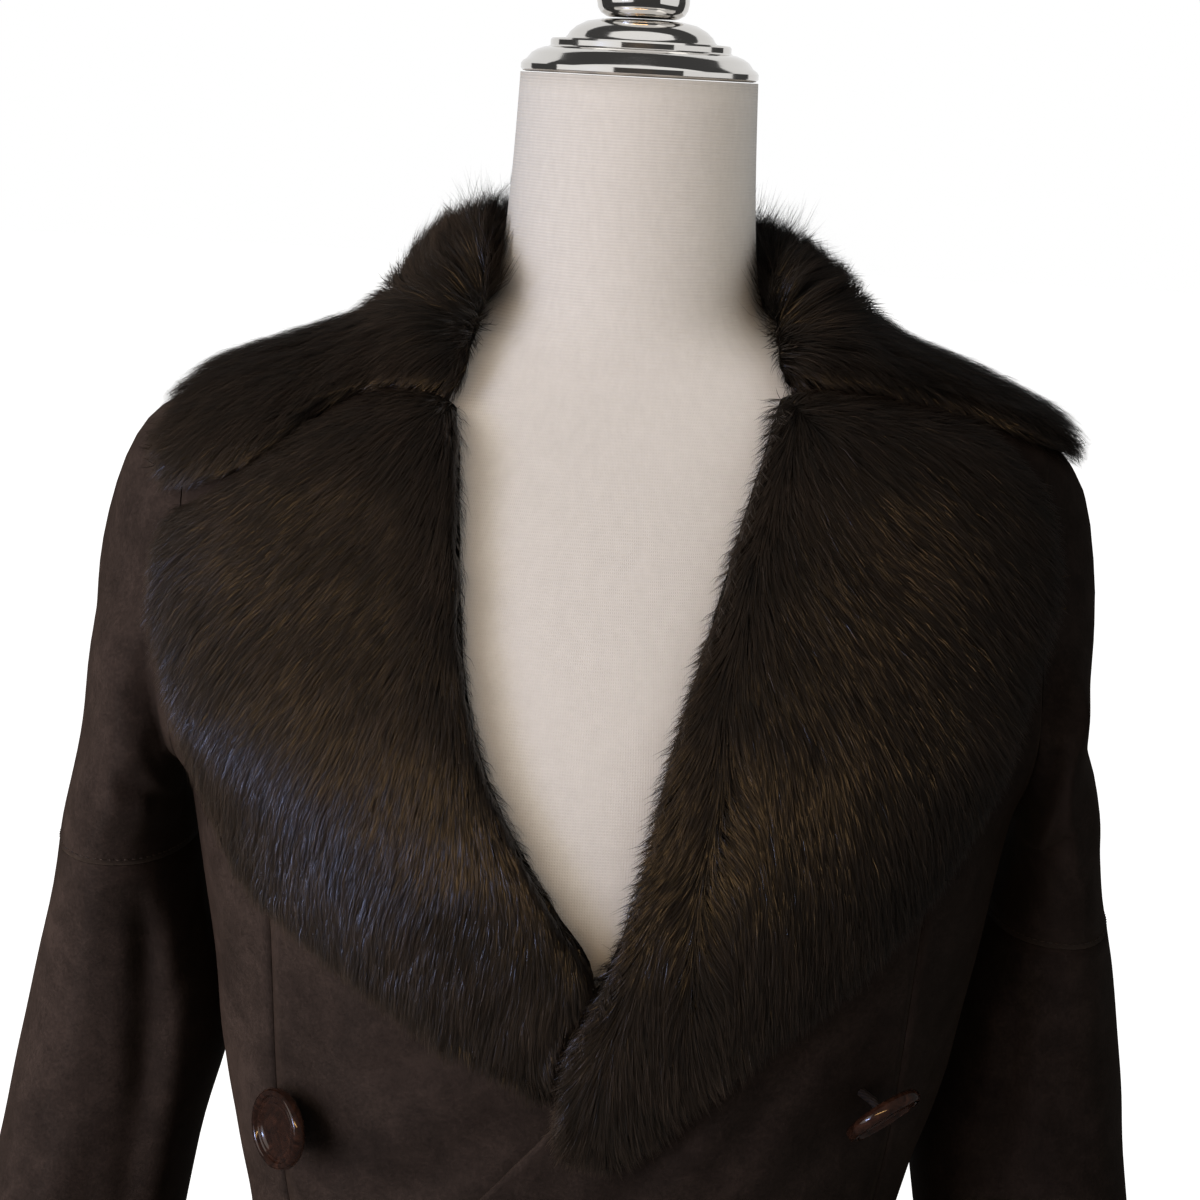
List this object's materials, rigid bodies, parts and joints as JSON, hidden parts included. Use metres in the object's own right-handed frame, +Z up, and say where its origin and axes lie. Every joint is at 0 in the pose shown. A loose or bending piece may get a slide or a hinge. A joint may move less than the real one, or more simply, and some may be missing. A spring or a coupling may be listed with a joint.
{
  "type": "double-breasted suede coat with fur collar on a dress form",
  "caption": "Suede coat with a wide rabbit-fur collar and notched fur lapels, double-breasted, worn by a limbless dress form on a stand.",
  "frame": {"origin": "centre of the underside of the stand's round foot, on the floor", "axes": "+Z up, -Y towards the coat's front, +X towards the wearer's left"},
  "size_m": [0.601, 0.37, 1.5533],
  "materials": {
    "suede": "matt dark brown suede with a short nap",
    "rabbit_fur": "dense dark brown rabbit fur with glossy guard hairs",
    "button_resin": "polished dark brown resin",
    "sewing_thread": "waxed dark brown button thread",
    "linen": "smooth off-white cloth drawn tight",
    "chrome": "polished chrome"
  },
  "bodies": {
    "root": {"front_left": "suede", "front_right": "suede", "side_left": "suede", "side_right": "suede", "back": "suede", "sleeve_upper_left": "suede", "sleeve_upper_right": "suede", "sleeve_lower_left": "suede", "sleeve_lower_right": "suede", "lapel_left": "rabbit_fur", "lapel_right": "rabbit_fur", "collar": "rabbit_fur", "button_top_left": "button_resin", "button_top_right": "button_resin", "button_low_left": "button_resin", "button_low_right": "button_resin", "button_top_left_shank": "sewing_thread", "button_top_right_shank": "sewing_thread", "button_low_left_shank": "sewing_thread", "button_low_right_shank": "sewing_thread", "dress_form": "linen", "neck_cap": "chrome", "cap_knob": "chrome", "pole": "chrome", "foot": "chrome"}
  },
  "joints": []
}
